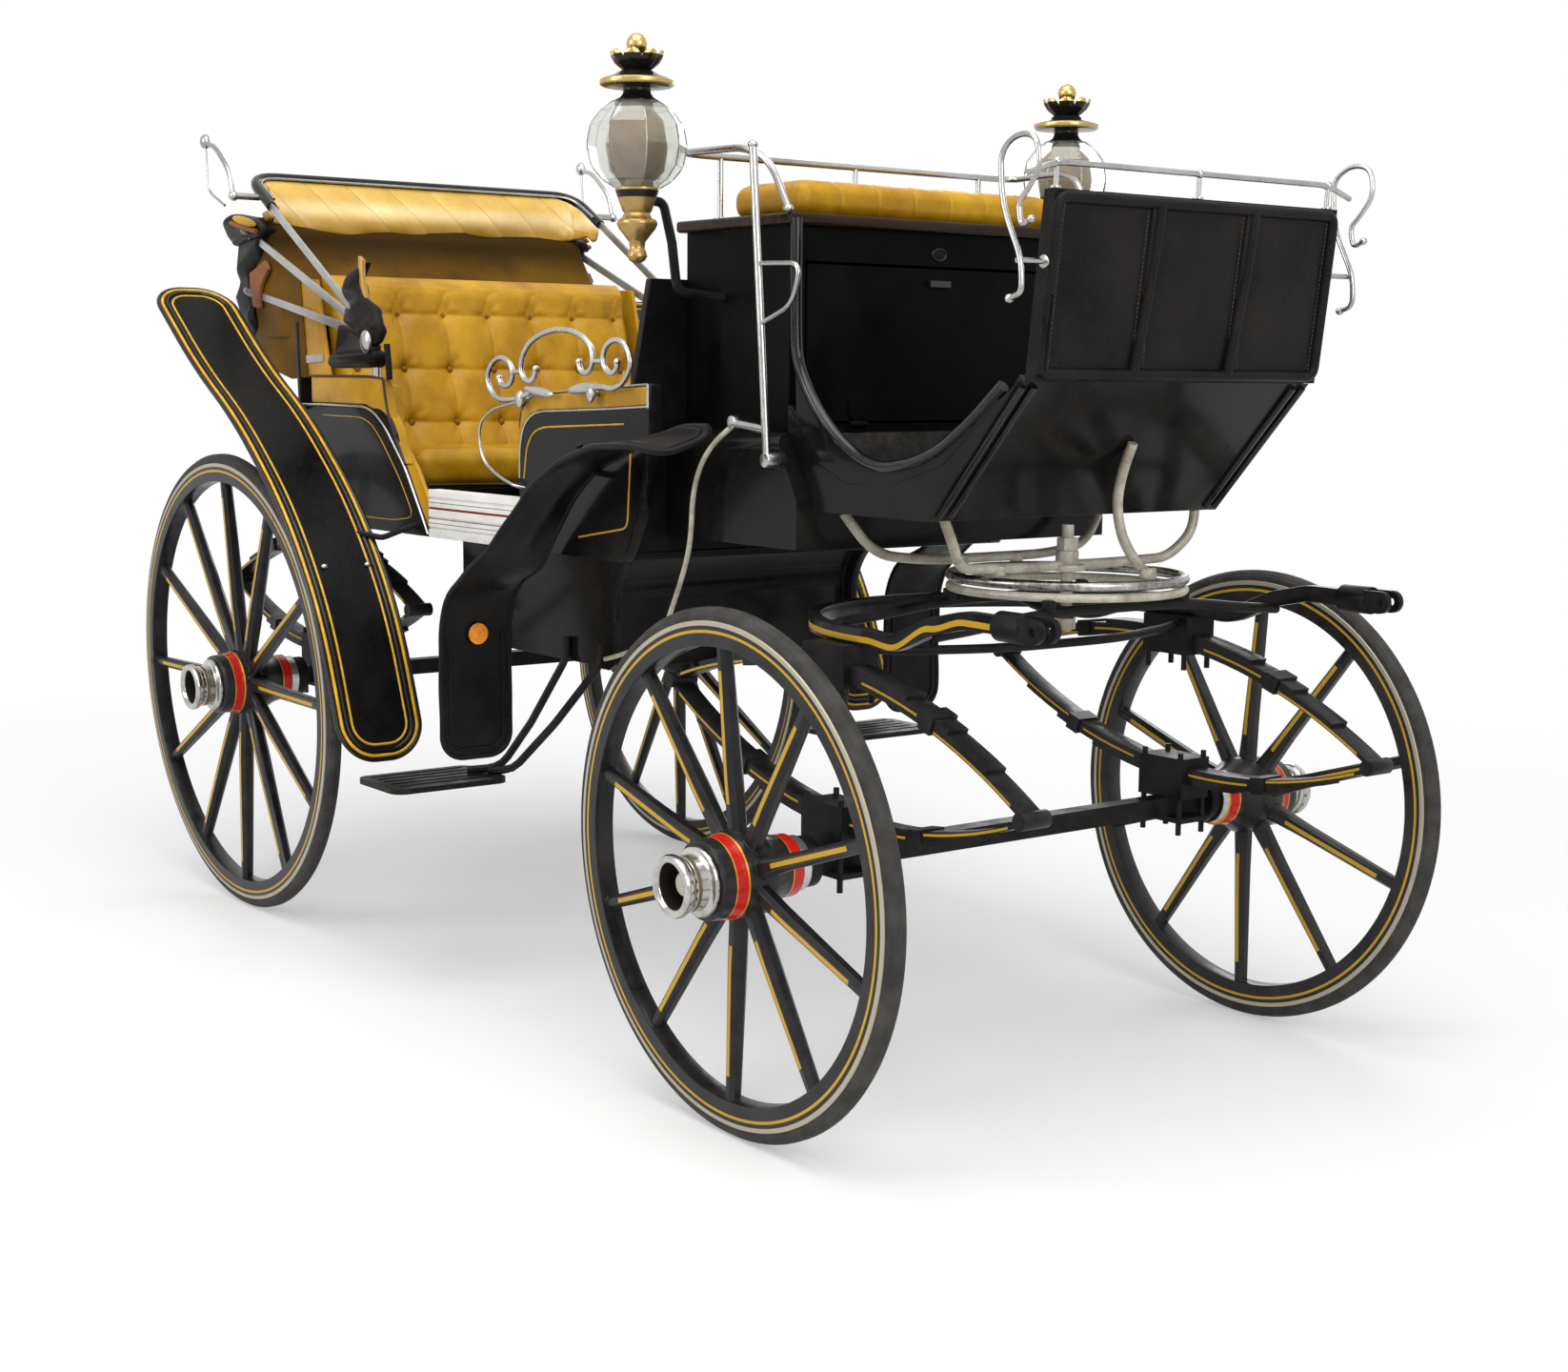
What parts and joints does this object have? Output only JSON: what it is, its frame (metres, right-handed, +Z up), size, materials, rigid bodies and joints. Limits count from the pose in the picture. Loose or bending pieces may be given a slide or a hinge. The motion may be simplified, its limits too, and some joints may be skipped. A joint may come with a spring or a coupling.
{
  "type": "horse drawn carriage",
  "caption": "Open four-wheeled horse drawn carriage with a raised coachman's seat, folded hood, elliptic springs and a fifth-wheel forecarriage.",
  "frame": {"origin": "on the ground under the middle of the overall length and width", "axes": "+X forward, +Y to the carriage's left, +Z up"},
  "size_m": [3.1629, 1.589, 1.9337],
  "materials": {
    "black_paint": "worn gloss black coach paint",
    "black_iron": "black painted wrought iron",
    "wheel_paint": "black painted wood with yellow lining",
    "tyre_rubber": "solid rubber tyre",
    "silver": "silver plate",
    "white_iron": "worn silver-white paint",
    "lamp_brass": "dull gold lacquer",
    "lamp_black": "black lacquer",
    "lamp_glass": "clear bevelled glass",
    "yellow_leather": "buttoned yellow leather",
    "black_leather": "black dash and hood leather",
    "wood_edge": "dark varnished wood",
    "cable_sheath": "cream cable sheath"
  },
  "bodies": {
    "carriage_body": {"rear_axle": "black_iron", "rear_springs": "black_iron", "rear_spring_clamps": "black_iron", "top_ring": "silver", "fifth_wheel_irons": "white_iron", "king_bolt": "white_iron", "boot": "black_paint", "lower_boot": "black_paint", "seat_box": "black_paint", "driver_seat_board": "wood_edge", "driver_cushion": "yellow_leather", "driver_seat_rail": "silver", "dash": "black_leather", "dash_rail": "silver", "well": "black_paint", "body_floor": "black_paint", "sill_plates": "silver", "front_quarter_panels": "black_paint", "rear_quarter_panels": "black_paint", "back_panel": "black_paint", "front_bulkhead": "black_paint", "seat_frame": "black_paint", "seat_cushion": "yellow_leather", "seat_back": "yellow_leather", "arm_pads": "yellow_leather", "rear_wings": "black_paint", "front_wings": "black_paint", "wing_stays": "black_iron", "steps": "black_iron", "lamp_bodies": "lamp_brass", "lamp_caps": "lamp_black", "lamp_globes": "lamp_glass", "lamp_brackets": "black_iron", "hood_bows": "black_paint", "hood_stays": "silver", "hood_leather": "black_leather", "grab_handles": "silver", "brake_lever": "silver", "brake_cable": "cable_sheath"},
    "forecarriage": {"front_axle": "black_iron", "front_springs": "black_iron", "front_spring_clamps": "black_iron", "futchells": "wheel_paint", "shaft_jaws": "black_iron", "lower_ring": "white_iron", "transoms": "black_iron"},
    "seat_box_flap": {"seat_box_flap": "black_paint"},
    "front_left_wheel": {"front_left_wheel": "wheel_paint", "front_left_tyre": "tyre_rubber", "front_left_hub_cap": "silver"},
    "front_right_wheel": {"front_right_wheel": "wheel_paint", "front_right_tyre": "tyre_rubber", "front_right_hub_cap": "silver"},
    "rear_left_wheel": {"rear_left_wheel": "wheel_paint", "rear_left_tyre": "tyre_rubber", "rear_left_hub_cap": "silver"},
    "rear_right_wheel": {"rear_right_wheel": "wheel_paint", "rear_right_tyre": "tyre_rubber", "rear_right_hub_cap": "silver"}
  },
  "joints": [
    {"name": "steer", "type": "hinge", "parent": "carriage_body", "child": "forecarriage", "pos_m": [1.1765, 0, 0.938], "axis": [0, 0, 1], "range_deg": [-45, 45]},
    {"name": "seat_box_flap_hinge", "type": "hinge", "parent": "carriage_body", "child": "seat_box_flap", "pos_m": [0.8105, 0, 1.226], "axis": [0, 1, 0], "range_deg": [0, 85]},
    {"name": "front_left_wheel_spin", "type": "hinge", "parent": "forecarriage", "child": "front_left_wheel", "pos_m": [1.0565, 0.669, 0.46395], "axis": [0, 0.9996, -0.0297], "continuous": true},
    {"name": "front_right_wheel_spin", "type": "hinge", "parent": "forecarriage", "child": "front_right_wheel", "pos_m": [1.0565, -0.669, 0.46395], "axis": [0, 0.9996, 0.0297], "continuous": true},
    {"name": "rear_left_wheel_spin", "type": "hinge", "parent": "carriage_body", "child": "rear_left_wheel", "pos_m": [-1.0235, 0.669, 0.55791], "axis": [0, 0.9996, -0.0297], "continuous": true},
    {"name": "rear_right_wheel_spin", "type": "hinge", "parent": "carriage_body", "child": "rear_right_wheel", "pos_m": [-1.0235, -0.669, 0.55791], "axis": [0, 0.9996, 0.0297], "continuous": true}
  ]
}
